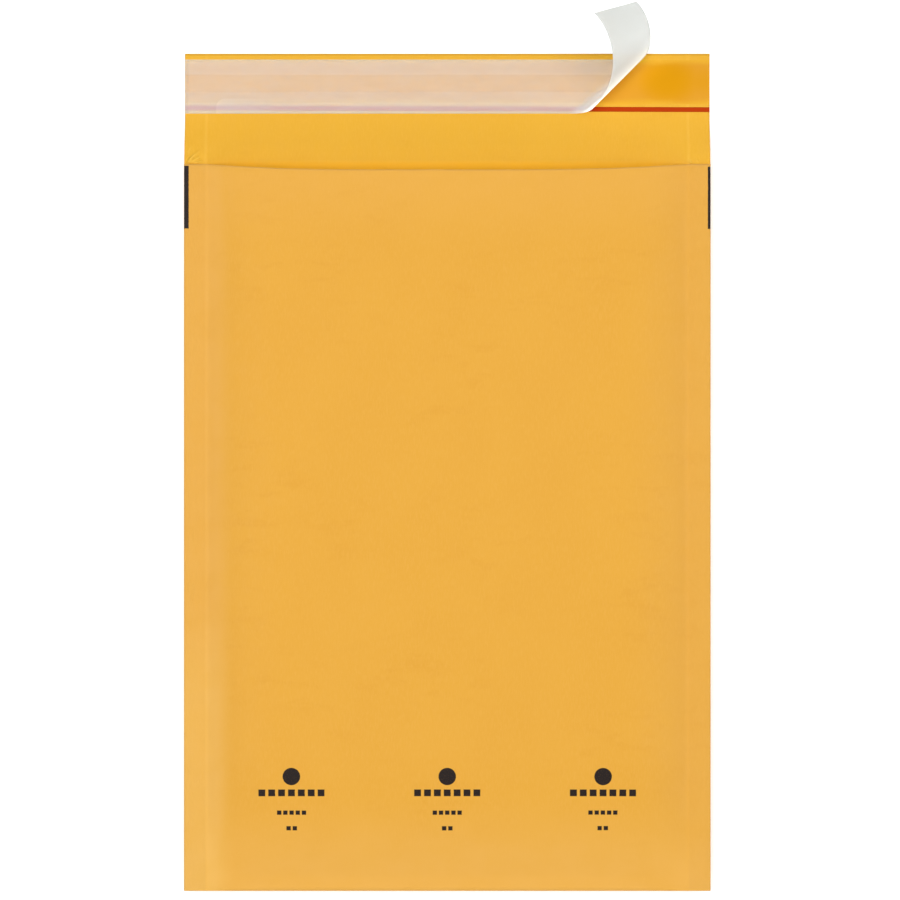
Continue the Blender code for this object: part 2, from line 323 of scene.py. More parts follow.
def flap_point(x, y):
    """Points of the flap's outer face, which flattens onto the floor before its strips begin."""
    settle_reach = LINER_LOW[1] - mouth_y() - 0.0015
    settled = 1 - smooth_step(y, mouth_y(), mouth_y() + settle_reach)
    return np.stack([x, y + 0 * x, panel_height("back", x, np.full_like(x, mouth_y())) * settled], -1)


def mesh_columns(pitch):
    """X of the mesh lines across both panels, closer over the swelling sides and in the seams."""
    inner = seam_x() - form().side_reach
    flat = np.linspace(0, inner, round(inner / pitch) + 1)
    slope = seam_x() - np.linspace(form().side_reach, 0, 26)[1:]
    seam = np.linspace(seam_x(), WIDTH / 2, 13)[1:]
    right = np.concatenate([flat, slope, seam])
    return np.concatenate([-right[:0:-1], right])


def grid_mesh(name, points, uvs):
    """A mesh through a grid of points, with a flat pattern coordinate in metres for each of them."""
    rows, columns = points.shape[:2]
    return mesh_from(name, points.reshape(-1, 3), grid_faces(rows, columns), uvs.reshape(-1, 2))


def grid_faces(rows, columns):
    index = np.arange(rows * columns).reshape(rows, columns)
    corners = [index[:-1, :-1], index[1:, :-1], index[1:, 1:], index[:-1, 1:]]
    return np.stack(corners, -1).reshape(-1, 4).tolist()


def mesh_from(name, vertices, faces, uvs):
    mesh = bpy.data.meshes.new(name)
    mesh.from_pydata(vertices.tolist(), [], faces)
    pattern = mesh.uv_layers.new(name="pattern")
    corners = np.empty(len(mesh.loops), dtype=np.int32)
    mesh.loops.foreach_get("vertex_index", corners)
    pattern.data.foreach_set("uv", uvs[corners].astype(np.float32).ravel())
    mesh.validate()
    mesh.shade_smooth()
    return mesh


def add_piece(name, mesh, materials, node):
    """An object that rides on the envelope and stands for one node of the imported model."""
    piece = bpy.data.objects.new(name, mesh)
    bpy.context.scene.collection.objects.link(piece)
    for made in materials:
        mesh.materials.append(made)
    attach(piece, "root")
    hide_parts(node)
    return piece


class NodeBuilder:
    """Adds shader nodes to one material, each call returning the socket that it makes."""

    def __init__(self, name):
        self.material = bpy.data.materials.new(name)
        self.material.use_nodes = True
        self.tree = self.material.node_tree
        uv_map = self.node("UVMap")
        uv_map.uv_map = "pattern"
        self.pattern = uv_map.outputs["UV"]
        parts = self.node("SeparateXYZ", Vector=self.pattern)
        self.u, self.v = parts.outputs["X"], parts.outputs["Y"]

    def put(self, value, socket):
        """Links a socket, or sets a number, a vector, or a colour that comes as a tuple."""
        if isinstance(value, bpy.types.NodeSocket):
            self.tree.links.new(value, socket)
        else:
            socket.default_value = (*value, 1.0) if isinstance(value, tuple) else value

    def fill(self, node, inputs):
        for name, value in inputs.items():
            self.put(value, node.inputs[name.replace("_", " ")])

    def node(self, kind, **inputs):
        """A new node with these inputs, whose names have underscores for spaces."""
        made = self.tree.nodes.new("ShaderNode" + kind)
        self.fill(made, inputs)
        return made

    def math(self, operation, a, b=0.0, clamp=False):
        node = self.node("Math")
        node.operation = operation
        node.use_clamp = clamp
        self.put(a, node.inputs[0])
        self.put(b, node.inputs[1])
        return node.outputs[0]

    def times(self, a, b, clamp=False):
        return self.math("MULTIPLY", a, b, clamp)

    def plus(self, a, b, clamp=False):
        return self.math("ADD", a, b, clamp)

    def minus(self, a, b):
        return self.math("SUBTRACT", a, b)

    def most(self, top, *others):
        for value in others:
            top = self.math("MAXIMUM", top, value)
        return top

    def size(self, a):
        return self.math("ABSOLUTE", a)

    def fade(self, value, low, high):
        """1 up to the low value, and softly down to 0 at the high one."""
        return self.ramp(value, low, high, 1.0, 0.0)

    def ramp(self, value, low, high, start=0.0, end=1.0):
        """Value from low to high turned into start to end, with soft ends."""
        node = self.node("MapRange", Value=value, From_Min=low, From_Max=high, To_Min=start, To_Max=end)
        node.interpolation_type = "SMOOTHSTEP"
        return node.outputs["Result"]

    def mix(self, factor, a, b, blend="MIX"):
        node = self.node("Mix")
        node.data_type = "RGBA"
        node.blend_type = blend
        self.put(factor, node.inputs["Factor"])
        self.put(a, node.inputs[6])
        self.put(b, node.inputs[7])
        return node.outputs[2]

    def stretch(self, along, across):
        """The pattern coordinate in units of these two lengths."""
        scale = Vector((1 / along, 1 / across, 1.0))
        return self.node("Mapping", Vector=self.pattern, Scale=scale).outputs["Vector"]

    def noise(self, vector, detail=3.0, roughness=0.5, distortion=0.0):
        shape = {"Detail": detail, "Roughness": roughness, "Distortion": distortion}
        return self.node("TexNoise", Vector=vector, Scale=1.0, **shape).outputs["Fac"]

    def grain(self, along, across, **rest):
        """Noise whose features are about this long and this wide, in millimetres."""
        return self.noise(self.stretch(along * MM, across * MM), **rest)

    def distance(self, a, b):
        return self.math("SQRT", self.plus(self.times(a, a), self.times(b, b)))

    def between(self, factor, a, b):
        """The value a where the factor is 0, b where it is 1, with each a number or a socket."""
        a, b = (value if isinstance(value, bpy.types.NodeSocket) else (value,) * 3 for value in (a, b))
        return self.mix(factor, a, b)

    def bump(self, height, distance, strength=1.0, normal=None):
        node = self.node("Bump", Height=height, Distance=distance, Strength=strength)
        if normal is not None:
            self.put(normal, node.inputs["Normal"])
        return node.outputs["Normal"]

    def block(self, u, v, middle, half, soft):
        """1 inside a rectangle of the pattern, 0 outside."""
        away_u = self.minus(self.size(self.minus(u, middle[0])), half[0])
        away_v = self.minus(self.size(self.minus(v, middle[1])), half[1])
        return self.fade(self.most(away_u, away_v), -soft, soft)

    def finish(self, **inputs):
        """The material, once its shader has these inputs."""
        self.fill(self.tree.nodes["Principled BSDF"], inputs)
        return self.material


def printed_marks(build):
    """Where ink lies: the edge marks by the mouth, and three plain groups of a dot and rows of squares."""
    u, v = build.u, build.v
    soft = 0.12 * MM
    wobble = build.times(build.minus(build.noise(build.stretch(MM, MM)), 0.5), 0.25 * MM)
    u = build.plus(u, wobble)
    left = build.block(u, v, (-WIDTH / 2, 14.6 * MM), (2.1 * MM, 13.8 * MM), soft)
    right = build.block(u, v, (WIDTH / 2, 14.9 * MM), (1.2 * MM, 13.7 * MM), soft)
    ink = build.most(left, right)

    shifted = build.plus(u, 3.5 * MARK_GROUP)
    local = build.minus(build.math("MODULO", shifted, MARK_GROUP), MARK_GROUP / 2)
    bottom = form().pocket_depth
    away = build.minus(v, bottom - MARK_DOT)
    radius = build.distance(local, away)
    marks = build.fade(radius, 3.7 * MM, 3.7 * MM + 2 * soft)
    for count, pitch, size, above in MARK_ROWS:
        place = build.plus(local, (count + 20) * pitch * MM / 2)
        cell = build.minus(build.math("MODULO", place, pitch * MM), pitch * MM / 2)
        square = build.block(cell, v, (0.0, bottom - above * MM), (size * MM / 2, size * MM / 2), soft)
        inside = build.math("LESS_THAN", build.size(local), count * pitch * MM / 2)
        marks = build.most(marks, build.times(square, inside))
    in_groups = build.math("LESS_THAN", build.size(u), 1.5 * MARK_GROUP)
    return build.most(ink, build.times(marks, in_groups))


def paper_relief(build, crimps):
    """Normal of the paper: fine tooth, long fibres, faint cockle, and crimps where the mask says."""
    tooth = build.grain(0.35, 0.35, detail=4.0, roughness=0.6)
    fibres = build.grain(0.25, 2.2, detail=3.0, roughness=0.55, distortion=0.6)
    cockle = build.grain(9, 13, detail=2.0)
    normal = build.bump(tooth, 0.012 * MM, 0.5)
    normal = build.bump(fibres, 0.015 * MM, 0.5, normal)
    normal = build.bump(cockle, 0.10 * MM, 0.7, normal)
    wrinkles = build.grain(1.6, 5, detail=2.0, distortion=1.2)
    return build.bump(build.times(wrinkles, crimps), 0.16 * MM, 0.8, normal)


def tinted(base, factors):
    return tuple(channel * factor for channel, factor in zip(base, factors))


def kraft_colour(build, base, paleness):
    """Paper colour with pale fibres, dark specks and slow clouds, paler where the given mask says."""
    pale, deep, highlight_and_crease_tone = (tinted(base, factors) for factors in (PALE_FIBRES, DEEP_CLOUDS, HIGHLIGHT_AND_CREASE))
    drifts = build.ramp(build.grain(30, 44, detail=2.0), 0.30, 0.70, 0.0, 0.45)
    streaks = build.grain(19, 7, detail=5.0, roughness=0.65, distortion=0.3)
    patches = build.ramp(build.grain(70, 60, detail=1.0), 0.40, 0.62)
    streaks = build.times(build.ramp(streaks, 0.50, 0.66, 0.0, 0.75), patches)
    clouds = build.plus(drifts, streaks, clamp=True)
    fibres = build.ramp(build.grain(0.5, 3.0, detail=4.0, distortion=0.8), 0.42, 0.72)
    specks = build.ramp(build.grain(0.8, 0.8, detail=2.0), 0.74, 0.80)
    tone = build.mix(clouds, base, deep)
    tone = build.mix(build.times(fibres, 0.55), tone, pale)
    tone = build.mix(build.times(specks, 0.25), tone, tinted(base, (0.75,) * 3))
    # The mask paints highlight and sheen on the outer face, and marks the crease lines on the inner face
    return build.mix(paleness, tone, highlight_and_crease_tone)


def highlight_paleness(build):
    """Painted highlight on the outer face: most on the left side and by the bottom fold, a little elsewhere.
    """
    u, v = build.u, build.v
    depth = form().pocket_depth
    left = build.ramp(u, -seam_x() - 1 * MM, -seam_x() + 1 * MM, 0.60, 0.86)
    left = build.times(left, build.fade(u, -seam_x() + 4 * MM, -seam_x() + 13 * MM))
    left = build.times(left, build.ramp(v, 40 * MM, 230 * MM, 1.0, 1.1))
    # Painted sheen on the right seam and its slope
    right = build.ramp(u, seam_x() - 16 * MM, seam_x(), 0.0, 0.42)
    lower = build.ramp(v, depth - 45 * MM, depth - 7 * MM, 0.0, 0.84)
    lower = build.times(lower, build.fade(v, depth + 6 * MM, depth + 50 * MM))
    # Painted highlight on the front near its open edge
    upper = build.ramp(v, 4 * MM, 40 * MM, 0.42, 0.0)
    paleness = build.most(left, right, lower, upper)
    blotches = build.ramp(build.grain(16, 12, detail=3.0), 0.3, 0.7, 0.80, 1.10)
    # Painted highlight along the front's open edge
    rim = build.fade(v, 0.5 * MM, 1.7 * MM)
    return build.most(build.times(paleness, blotches), rim)


def corner_highlight(build):
    """Painted highlight: 1 on the lower left seam and its slope, where the paper is drawn palest."""
    v, depth = build.v, form().pocket_depth
    across = build.fade(build.u, -seam_x() + 2 * MM, -seam_x() + 14 * MM)
    along = build.times(build.ramp(v, 190 * MM, 235 * MM), build.fade(v, depth + 6 * MM, depth + 50 * MM))
    return build.times(across, along)


def seam_mask(build):
    """1 over the pressed side seams."""
    across = build.size(build.u)
    return build.ramp(across, seam_x() - 0.6 * MM, seam_x() + 0.6 * MM)


def past_peel(build, y):
    """How far a point of the flap lies past the liner's peel line, measured across the envelope."""
    liner = bpy.context.scene.envelope_liner
    slant = build.times(build.minus(y, LINER_LOW[1]), 1 / math.tan(liner.peel_angle))
    return build.minus(build.minus(build.u, slant), WIDTH / 2 - liner.peel_from_right)


def under_film(build, y):
    """1 on what the stuck part of the release liner covers, with y the place along the envelope."""
    low, high = LINER_LOW[1], LINER_LOW[1] + LINER_WIDTH
    started = build.ramp(y, low - 0.3 * MM, low + 0.1 * MM)
    across = build.times(started, build.fade(y, high - 0.1 * MM, high + 0.3 * MM))
    return build.times(across, build.fade(past_peel(build, y), 0.0, 6 * MM))


def lit_through(build, tone, y):
    """The colour, raised under and beside the liner for the light that its plain alpha holds back."""
    tone = build.mix(under_film(build, y), tone, UNDER_FILM, "MULTIPLY")
    past = past_peel(build, y)
    shade = build.times(build.ramp(past, -28 * MM, -3 * MM), build.fade(past, 9 * MM, 24 * MM))
    on_strip = build.times(build.ramp(y, LINER_LOW[1] - 2 * MM, LINER_LOW[1] + 3 * MM), shade)
    return build.mix(on_strip, tone, BESIDE_CURL, "MULTIPLY")


CORNER_CREASES = (
    (-114.4, 0.2, 50, 6.4, 0.46),
    (-113.4, 0.3, 31, 6.6, 0.34),
    (-112.2, 0.3, 10, 5.6, 0.30),
    (-111.4, 3.2, 44, 5.0, 0.22),
    (-114.0, 4.4, 68, 4.6, 0.20),
    (106.8, -0.2, 88, 3.2, 0.34),
    (110.4, 0.2, 118, 3.6, 0.16),
)


def corner_ridges(build, mouth_v):
    """Height in millimetres of the short creases fanned out over the flap's corners at the mouth.

    Each crease is given by its x, its distance past the mouth, its angle in degrees, its length and its
    height, with the lengths in millimetres.
    """
    ridges = 0.0
    for x, past, angle, reach, height in CORNER_CREASES:
        cos, sin = math.cos(math.radians(angle)), math.sin(math.radians(angle))
        side_u = build.minus(build.u, x * MM)
        side_v = build.minus(build.v, mouth_v + past * MM)
        along = build.plus(build.times(side_u, cos), build.times(side_v, sin))
        across = build.minus(build.times(side_v, cos), build.times(side_u, sin))
        ridge = build.ramp(build.size(across), 0.0, 0.95 * MM, height, 0.0)
        started = build.ramp(along, 0.0, 1.2 * MM)
        ended = build.fade(along, (reach - 2.5) * MM, reach * MM)
        ridges = build.plus(ridges, build.times(ridge, build.times(started, ended)))
    return ridges


def outer_kraft(settings):
    build = NodeBuilder("kraft outer face")
    seam = seam_mask(build)
    ink = printed_marks(build)
    # Painted highlight and sheen lighten parts of the outer face
    paper = kraft_colour(build, tuple(settings.outer), highlight_paleness(build))
    # Painted shade darkens the side seams
    paper = build.mix(seam, paper, SEAM_SHADE, "MULTIPLY")
    # Painted highlight on the lower left corner
    paper = build.mix(corner_highlight(build), paper, CORNER_HIGHLIGHT, "MULTIPLY")
    worn = build.ramp(build.grain(0.4, 0.4, detail=3.0), 0.25, 0.45, 0.90, 1.0)
    colour_out = build.mix(build.times(ink, worn), paper, tuple(settings.ink))
    sheen = build.grain(3, 8, detail=3.0)
    return build.finish(
        Base_Color=colour_out,
        Roughness=build.ramp(sheen, 0.2, 0.8, 0.50, 0.64),
        Normal=paper_relief(build, seam),
        Specular_IOR_Level=0.22,
    )


def inner_kraft(settings):
    build = NodeBuilder("kraft inner face")
    across = build.size(build.u)
    crease = build.fade(build.size(build.minus(across, seam_x())), 0.2 * MM, 1.1 * MM)
    paper = kraft_colour(build, tuple(settings.inner), build.times(crease, 0.6))
    mouth_v = 2 * form().pocket_depth + form().fold_stack * math.pi / 2
    past = build.minus(build.v, mouth_v)
    # Painted light beside the mouth, where the front edge shades the flap
    lit_lip = build.times(build.fade(past, -0.6 * MM, 2.4 * MM), build.fade(across, 85 * MM, seam_x() + 3 * MM))
    paper = build.mix(lit_lip, paper, tuple(settings.lit_lip))
    ridges = corner_ridges(build, mouth_v)
    # Painted highlight: the crease ridges are drawn paler
    paper = build.mix(build.times(ridges, 1.3, clamp=True), paper, tuple(settings.crease))
    paper = lit_through(build, paper, build.plus(past, mouth_y()))
    sheen = build.grain(3, 8, detail=3.0)
    return build.finish(
        Base_Color=paper,
        Roughness=build.ramp(sheen, 0.2, 0.8, 0.55, 0.70),
        Normal=build.bump(ridges, MM, 1.0, paper_relief(build, build.times(crease, 0.6))),
        Specular_IOR_Level=0.30,
    )


def lattice(x, along, settings):
    """1 at the middle of each air cell and less towards 0 between them, in staggered rows."""
    row = np.round(along / settings.cell_row)
    shift = np.where(np.mod(row, 2) > 0.5, settings.cell_pitch / 2, 0.0)
    near_x = np.mod(x + shift + settings.cell_pitch / 2, settings.cell_pitch) - settings.cell_pitch / 2
    near_y = along - row * settings.cell_row
    return np.clip(1 - (near_x**2 + near_y**2) / settings.cell_radius**2, 0, 1)


def slow_noise(x, along, scale, seed):
    """Smooth noise between about -1 and 1 over a grid of places."""
    values = [
        noise.noise(Vector((a / scale, b / scale, seed))) for a, b in zip(np.ravel(x), np.ravel(along))
    ]
    return np.array(values).reshape(np.shape(x))


def panel_relief(x, along, settings, lining, seed):
    """How far a loose panel stands proud of its smooth form: slow waves and the cells behind it."""
    loose = swell_across(x) ** 2 * smooth_step(form().pocket_depth - along, 0.004, 0.030)
    waves = 0.7 * slow_noise(x, along, 0.085, seed) + 0.3 * slow_noise(x, along, 0.030, seed + 7)
    patches = smooth_step(slow_noise(x, along, 0.055, seed + 3), -0.25, 0.45)
    cells = lattice(x, along - lining.setback - lining.cell_radius, lining)
    inside = seam_x() - np.abs(x)
    beside = smooth_step(inside, 0.0, 0.004) * (1 - smooth_step(inside, 0.006, 0.026))
    puckers = settings.pucker * beside * slow_noise(x * 0.5, along, 0.009, seed + 17)
    loose_waves = settings.wave * waves * loose
    return loose_waves + puckers + settings.cell_print * cells * patches * smooth_step(loose, 0.0, 0.5)


def seam_relief(x, along, settings, seed):
    """Wrinkles in the pressed seams, the groove beside them and the crimps by the mouth's corners."""
    inside = seam_x() - np.abs(x)
    band = smooth_step(-inside, -0.0010, 0.0012)
    short = slow_noise(x * 2.2, along, 0.0035, seed + 11)
    crimps = settings.crimp * band * short * (0.35 + 0.65 * smooth_step(0.02 - along, 0.0, 0.02))
    groove = -0.00003 * np.exp(-((inside + 0.0004) / 0.0007) ** 2)
    return crimps + groove


def flap_relief(x, past, settings):
    """Faint waves of the flap, the seams' lines that run on up it, and crimps at the mouth's corners."""
    bare = 1 - smooth_step(past, 0.017, 0.022)
    line = np.exp(-(((seam_x() - np.abs(x)) / 0.0008) ** 2)) * np.where(x < 0, 1.0, 0.3)
    corner = smooth_step(0.015 - past, 0.0, 0.012) * smooth_step(np.abs(x), seam_x() - 0.004, seam_x())
    crimps = slow_noise(x * 1.5, past, 0.0032, 23.0) * np.where(x < 0, 1.6, 0.6)
    waves = slow_noise(x, past * 1.5, 0.030, 41.0) * swell_across(x)
    return bare * (settings.crimp * 1.8 * corner * crimps - 0.00012 * line + 0.25 * settings.wave * waves)


def kraft_sheet(settings, lining):
    """The sheet from the front's open edge, round the bottom fold, up the back and out to the flap."""
    pitch = settings.pitch
    depth = form().pocket_depth
    x = mesh_columns(pitch)

    edge_rows = depth - np.linspace(0, 0.02, 16)
    low_rows = np.linspace(form().fold_flat + form().bottom_reach, 0, 22)
    front_rows = np.concatenate([edge_rows, np.arange(depth - 0.022, low_rows[0], -pitch), low_rows])
    back_rows = np.concatenate([low_rows[::-1], np.arange(low_rows[0] + 0.004, depth, 0.004), [depth]])
    angles = np.radians(np.linspace(80, -80, 11))
    near_mouth = np.linspace(mouth_y(), mouth_y() + 0.02, 27)[1:]
    flap_rows = np.concatenate([near_mouth, np.linspace(mouth_y() + 0.021, FLAP_Y, 20)])

    points = [panel_point("front", x, row) for row in front_rows]
    points += [fold_point(x, angle) for angle in angles]
    points += [panel_point("back", x, row) for row in back_rows]
    points = np.array(points + [flap_point(x, y) for y in flap_rows])
    turned = depth + form().fold_stack / 2 * math.pi
    folded = depth + form().fold_stack / 2 * (math.pi / 2 - angles)
    flap_along = turned + depth + flap_rows - mouth_y()
    along = np.concatenate([depth - front_rows, folded, turned + back_rows, flap_along])[:, None] + 0 * x
    across = x + 0 * along

    facing = np.cross(np.gradient(points, axis=0), np.gradient(points, axis=1))
    facing /= np.linalg.norm(facing, axis=-1, keepdims=True)
    relief = np.zeros(points.shape[:2])
    front = slice(0, len(front_rows))
    back = slice(len(front_rows) + len(angles), len(front_rows) + len(angles) + len(back_rows))
    flap = slice(back.stop, None)
    relief[front] = panel_relief(across[front], along[front], settings, lining, 1.7)
    relief[front] += seam_relief(across[front], along[front], settings, 1.7)
    up_back = depth - (along[back] - turned)
    relief[back] = -np.abs(panel_relief(across[back], up_back, settings, lining, 5.1)) * 0.5
    past = along[flap] - turned - depth
    relief[flap] = flap_relief(across[flap], past, settings)
    points = points + facing * relief[..., None]

    edge = front_rows[:, None] > depth - 0.004
    ripple = 0.00012 * slow_noise(across[front], across[front] * 0, 0.011, 31.0)
    points[front, :, 1] += np.where(edge, ripple, 0) * swell_across(across[front])
    points[..., 2] = np.maximum(points[..., 2], 0.0)
    return grid_mesh("kraft_sheet", points, np.stack([across, along], -1))


class ENVELOPE_OT_kraft(bpy.types.Operator):
    """Fold the kraft sheet, with its panels, seams and flap"""

    bl_idname = "envelope.kraft"
    bl_label = "Kraft sheet"

    def execute(self, context):
        settings = context.scene.envelope_kraft
        mesh = kraft_sheet(settings, context.scene.envelope_lining)
        materials = [outer_kraft(settings), inner_kraft(settings)]
        piece = add_piece("kraft_sheet", mesh, materials, "kraft_shell")
        paper = piece.modifiers.new("paper", "SOLIDIFY")
        paper.thickness = settings.paper
        paper.offset = -1
        paper.use_even_offset = True
        paper.material_offset = 1
        paper.material_offset_rim = 1
        return {"FINISHED"}


def air_film(settings):
    build = NodeBuilder("air-cell film")
    creases = build.grain(2.5, 2.5, detail=3.0, distortion=1.5)
    cloud = build.grain(6, 6, detail=2.0)
    return build.finish(
        Base_Color=tuple(settings.film),
        Roughness=build.ramp(creases, 0.3, 0.7, 0.10, 0.24),
        Alpha=build.ramp(cloud, 0.3, 0.7, settings.haze - 0.06, settings.haze + 0.06),
        Normal=build.bump(creases, 0.12 * MM, 0.7),
        Specular_IOR_Level=0.7,
    )


def cell_profile(height):
    """Radius share and height share of the rings of one blown cell, from its foot to its crown."""
    shares = ((1.0, 0.0), (0.985, 0.30), (0.93, 0.60), (0.78, 0.84), (0.48, 0.97), (0.12, 1.0))
    return [(radius, rise_share * height) for radius, rise_share in shares]


def cell_shell(side, x, distance, settings, height):
    """Vertices and faces of one air cell that stands on the web and points into the pocket."""
    step = 1e-4
    foot = panel_point(side, x, distance, settings.depth)
    east = panel_point(side, x + step, distance, settings.depth) - foot
    north = panel_point(side, x, distance + step, settings.depth) - foot
    inward = np.cross(east, north) * (1 if side == "back" else -1)
    east, inward = east / np.linalg.norm(east), inward / np.linalg.norm(inward)
    north = np.cross(inward, east)
    turns = np.linspace(0, 2 * math.pi, settings.cell_sides, endpoint=False)
    ring = np.cos(turns)[:, None] * east + np.sin(turns)[:, None] * north
    rings = [foot + settings.cell_radius * r * ring + h * inward for r, h in cell_profile(height)]
    vertices = np.concatenate(rings)
    sides = settings.cell_sides
    faces = []
    for level in range(len(rings) - 1):
        for i in range(sides):
            after = (i + 1) % sides
            low, high = level * sides, (level + 1) * sides
            faces.append((low + i, low + after, high + after, high + i))
    faces.append(tuple(range((len(rings) - 1) * sides, len(rings) * sides)))
    return vertices, faces


def lining_web(settings):
    """The folded web with its cells: two film layers that meet at the seams, and every cell between."""
    depth = form().pocket_depth
    x = mesh_columns(0.004)[1:-1]
    rows = np.linspace(depth - settings.setback, form().fold_flat, 84)
    front = np.array([panel_point("front", x, row, settings.depth) for row in rows])
    back = np.array([panel_point("back", x, row, settings.depth) for row in rows[::-1]])
    points = np.concatenate([front, back])
    uvs = np.stack([x + 0 * points[..., 1], np.cumsum(np.full(points.shape[:2], 0.0035), axis=0)], -1)
    faces = grid_faces(*points.shape[:2])
    vertices, pattern = [points.reshape(-1, 3)], [uvs.reshape(-1, 2)]
    count = len(vertices[0])

    dice = np.random.default_rng(14)
    across = int((seam_x() - settings.cell_radius) / settings.cell_pitch)
    first = depth - settings.setback - settings.cell_radius - 0.0008
    for row in range(int(first / settings.cell_row)):
        distance = first - row * settings.cell_row
        shift = settings.cell_pitch / 2 * (row % 2)
        for column in range(-across - 1, across + 1):
            place = column * settings.cell_pitch + shift
            y = row_y(place, distance)
            room = panel_height("front", place, y) - panel_height("back", place, y) - 2 * settings.depth
            for side in ("front", "back"):
                full = settings.cell_height * dice.uniform(0.90, 1.0)
                height = min(full, room / 2 - 0.0003)
                if height < 0.0012 or abs(place) + settings.cell_radius > seam_x() - 0.0015:
                    continue
                shell, shell_faces = cell_shell(side, place, distance, settings, height)
                vertices.append(shell)
                faces += [tuple(count + i for i in face) for face in shell_faces]
                pattern.append(shell[:, :2])
                count += len(shell)
    return mesh_from("bubble_web", np.concatenate(vertices), faces, np.concatenate(pattern))


class ENVELOPE_OT_lining(bpy.types.Operator):
    """Line the pocket with film and blow its air cells"""

    bl_idname = "envelope.lining"
    bl_label = "Air-cell lining"

    def execute(self, context):
        settings = context.scene.envelope_lining
        piece = add_piece(
            "bubble_web", lining_web(settings), [air_film(settings)], "bubble_lining"
        )
        return {"FINISHED"}


def strip_grid(name, low_y, high_y, paper, height, end, power, slant=0.0):
    """A low strip across the flap whose edges sink into the paper, with the sheet's pattern coordinate."""
    x = np.linspace(-WIDTH / 2 + end, WIDTH / 2 - end, 160)
    shares = np.linspace(-1, 1, 25)
    shares = np.sign(shares) * np.abs(shares) ** 0.6
    y = (low_y + high_y) / 2 + shares[:, None] * (high_y - low_y) / 2 + 0 * x
    z = paper - STRIP_SINK + (height + STRIP_SINK) * (1 - np.abs(shares[:, None]) ** power) + 0 * x
    points = np.stack([x + 0 * y, y + slant * x, z], -1)
    return grid_mesh(name, points[::-1], np.stack([points[::-1, :, 0], y[::-1] - low_y], -1))


def glue_pool(build, width):
    """1 at the middle of the thick pool that the glue forms near its right end."""
    along = build.math("DIVIDE", build.minus(build.u, 97 * MM), 15 * MM)
    across = build.math("DIVIDE", build.minus(build.v, width * 0.54), 11.5 * MM)
    away = build.plus(build.times(along, along), build.times(across, across))
    return build.fade(away, 0.0, 1.3)


def adhesive_material(settings, paper, low_y, width):
    """Amber glue, thick and glossy in the middle and thinning out to the paper at both edges."""
    build = NodeBuilder("amber adhesive")
    middle = build.size(build.minus(build.v, width / 2))
    ragged = build.grain(16, 9, detail=3.0)
    reach = build.plus(middle, build.times(build.minus(ragged, 0.5), 4 * MM))
    body = build.fade(reach, 0.0, width * 0.48)
    pools = build.ramp(build.grain(34, 16, detail=1.0), 0.35, 0.65, 0.25, 0.60)
    thick = build.most(build.times(body, pools), glue_pool(build, width))
    cover = build.fade(reach, width * 0.32, width * 0.50)
    ripple = build.grain(9, 5, detail=3.0)
    glue = build.mix(thick, tuple(settings.adhesive_thin), tuple(settings.adhesive))
    tone = build.mix(cover, kraft_colour(build, tuple(paper), 0.0), glue)
    return build.finish(
        Base_Color=lit_through(build, tone, build.plus(build.v, low_y)),
        Roughness=build.between(cover, 0.60, 0.30),
        Normal=build.bump(ripple, 0.04 * MM, 0.6),
        Specular_IOR_Level=0.12,
    )


def tape_material(settings, low_y, width):
    """Red film tape, a little deeper along its two edges, with fine lengthwise drawing lines."""
    build = NodeBuilder("red tear tape")
    middle = build.size(build.minus(build.v, width / 2))
    edge = build.ramp(middle, width * 0.30, width * 0.50)
    lines = build.grain(30, 0.15, detail=2.0)
    deep = tinted(settings.tape, (0.82,) * 3)
    # Painted light: the covered part is drawn brighter for the light that the film's alpha holds back
    covered = under_film(build, build.plus(build.v, low_y))
    tone = build.mix(edge, tuple(settings.tape), deep)
    return build.finish(
        Base_Color=build.mix(covered, tone, TAPE_LIT_THROUGH_FILM, "MULTIPLY"),
        Roughness=build.ramp(lines, 0.3, 0.7, 0.42, 0.54),
        Normal=build.bump(lines, 0.02 * MM, 0.5),
        Specular_IOR_Level=0.08,
    )


class ENVELOPE_OT_strips(bpy.types.Operator):
    """Lay the adhesive and the red tear tape on the flap"""

    bl_idname = "envelope.strips"
    bl_label = "Adhesive and tear tape"

    def execute(self, context):
        settings = context.scene.envelope_strips
        paper = context.scene.envelope_kraft.paper
        low, high = ADHESIVE_LOW[1] - GLUE_SPREAD, ADHESIVE_HIGH[1] + GLUE_SPREAD
        glue = strip_grid("adhesive_film", low, high, paper, 0.12 * MM, 0.0002, 4)
        made = adhesive_material(settings, context.scene.envelope_kraft.inner, low, high - low)
        add_piece("adhesive_film", glue, [made], "adhesive_strip")
        low, high = TAPE_LOW[1] - TAPE_DOWN, TAPE_HIGH[1] + TAPE_UP
        tape = strip_grid("tear_tape", low, high, paper, 0.08 * MM, 0.0, 10, slant=TAPE_SLANT)
        add_piece("tear_tape", tape, [tape_material(settings, low, high - low)], "tear_strip")
        return {"FINISHED"}


